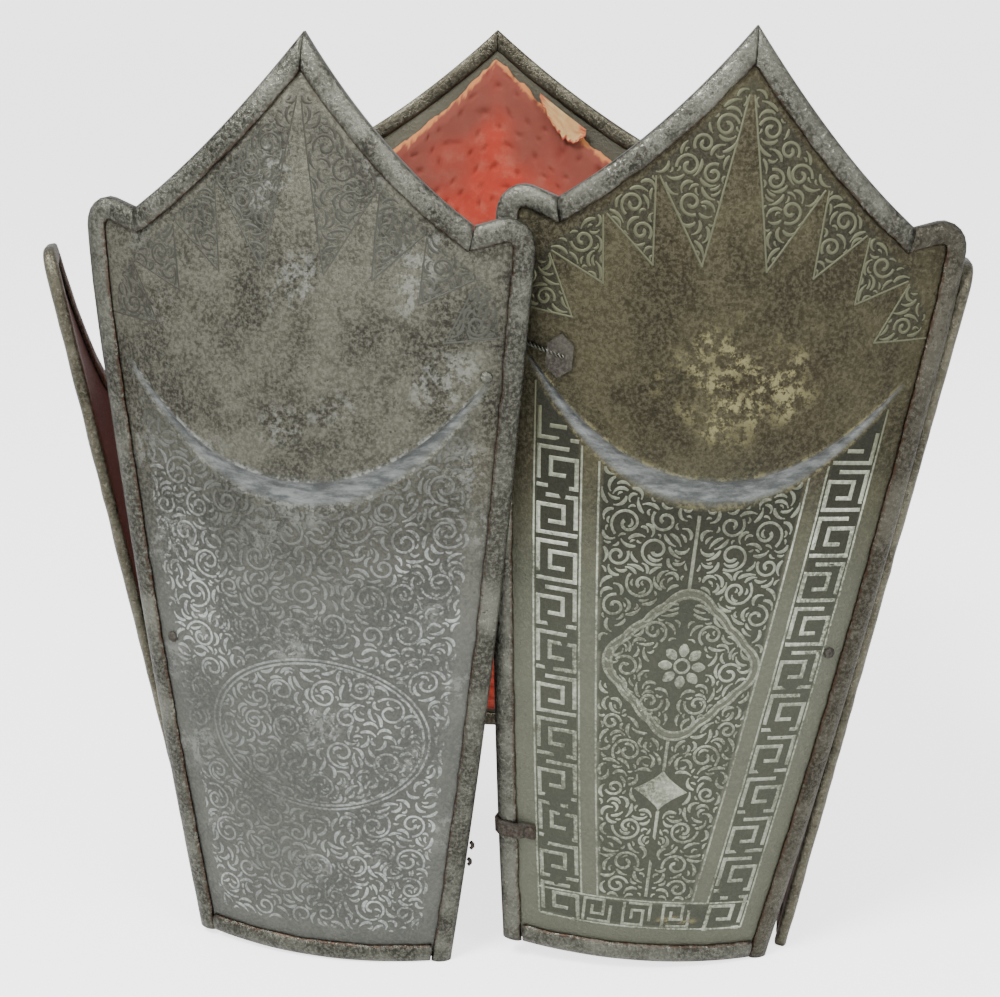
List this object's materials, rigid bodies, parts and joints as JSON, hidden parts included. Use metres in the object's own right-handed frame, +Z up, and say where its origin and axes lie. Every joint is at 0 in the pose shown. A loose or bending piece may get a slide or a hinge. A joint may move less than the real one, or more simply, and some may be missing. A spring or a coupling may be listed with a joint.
{
  "type": "cuirass",
  "caption": "Steel body armour of hinged curved plates with pointed tops, arm cut-outs, rolled edge strips, clasp remains and a quilted lining on the back.",
  "frame": {"origin": "centre of the bounding box at the height of the surface that it stands on", "axes": "+Z up, the two front plates face -Y, +X is to the right as seen from the front"},
  "size_m": [0.4008, 0.3162, 0.4283],
  "materials": {
    "grey_steel": "worn grey etched steel with an olive-brown tinge",
    "olive_steel": "olive-brown patinated steel with etched scrollwork",
    "brown_steel": "smooth unpolished steel, dark red-brown",
    "strip_steel": "mottled grey half-round strip with rust in its creases",
    "iron": "rough dark iron with rust",
    "red_cloth": "quilted red cotton, faded and worn",
    "cream_cloth": "frayed cream-yellow cloth backing"
  },
  "bodies": {
    "back": {"back_lining": "red_cloth", "back_lining_fold": "cream_cloth", "back_plate": "brown_steel", "back_strip_bottom": "strip_steel", "back_strip_ogee_left": "strip_steel", "back_strip_ogee_right": "strip_steel", "back_strip_side_left": "strip_steel", "back_strip_side_right": "strip_steel", "rear_left_hinge_leaf_outer": "iron", "rear_left_hinge_leaf_outer_rivet": "iron", "rear_left_hinge_pin": "iron", "rear_right_hinge_leaf_outer": "iron", "rear_right_hinge_leaf_outer_rivet": "iron", "rear_right_hinge_pin": "iron"},
    "front_left": {"front_left_hinge_leaf_inner": "iron", "front_left_hinge_leaf_inner_rivet": "iron", "front_left_plate": "grey_steel", "front_left_strip_bottom": "strip_steel", "front_left_strip_ogee_left": "strip_steel", "front_left_strip_ogee_right": "strip_steel", "front_left_strip_side_left": "strip_steel", "front_left_strip_side_right": "strip_steel", "lower_clasp_eye_lower": "iron", "lower_clasp_eye_upper": "iron", "upper_clasp_rivet": "iron"},
    "side_left": {"front_left_hinge_leaf_outer": "iron", "front_left_hinge_leaf_outer_rivet": "iron", "front_left_hinge_pin": "iron", "rear_left_hinge_leaf_inner": "iron", "rear_left_hinge_leaf_inner_rivet": "iron", "side_left_plate": "brown_steel", "side_left_strip_armhole": "strip_steel", "side_left_strip_bottom": "strip_steel", "side_left_strip_side_left": "strip_steel", "side_left_strip_side_right": "strip_steel"},
    "front_right": {"front_right_hinge_leaf_inner": "iron", "front_right_hinge_leaf_inner_rivet": "iron", "front_right_plate": "olive_steel", "front_right_strip_bottom": "strip_steel", "front_right_strip_ogee_left": "strip_steel", "front_right_strip_ogee_right": "strip_steel", "front_right_strip_side_left": "strip_steel", "front_right_strip_side_right": "strip_steel", "lower_clasp_rivet": "iron", "lower_clasp_tab": "iron", "upper_clasp_plate": "iron", "upper_clasp_wire": "iron"},
    "side_right": {"front_right_hinge_leaf_outer": "iron", "front_right_hinge_leaf_outer_rivet": "iron", "front_right_hinge_pin": "iron", "rear_right_hinge_leaf_inner": "iron", "rear_right_hinge_leaf_inner_rivet": "iron", "side_right_plate": "brown_steel", "side_right_strip_armhole": "strip_steel", "side_right_strip_bottom": "strip_steel", "side_right_strip_side_left": "strip_steel", "side_right_strip_side_right": "strip_steel"}
  },
  "joints": [
    {"name": "rear_left_hinge", "type": "hinge", "parent": "back", "child": "side_left", "pos_m": [-0.10934, 0.13867, 0.16199], "axis": [-0.1487, 0.0196, 0.9887], "range_deg": [-12, 0]},
    {"name": "rear_right_hinge", "type": "hinge", "parent": "back", "child": "side_right", "pos_m": [0.10324, 0.10996, 0.16187], "axis": [0.1543, -0.0187, 0.9878], "range_deg": [0, 12]},
    {"name": "front_left_hinge", "type": "hinge", "parent": "side_left", "child": "front_left", "pos_m": [-0.15969, -0.09839, 0.1611], "axis": [-0.1227, -0.044, 0.9915], "range_deg": [-60, 0]},
    {"name": "front_right_hinge", "type": "hinge", "parent": "side_right", "child": "front_right", "pos_m": [0.15864, -0.12418, 0.16059], "axis": [0.1792, -0.0683, 0.9814], "range_deg": [-20, 0]}
  ]
}
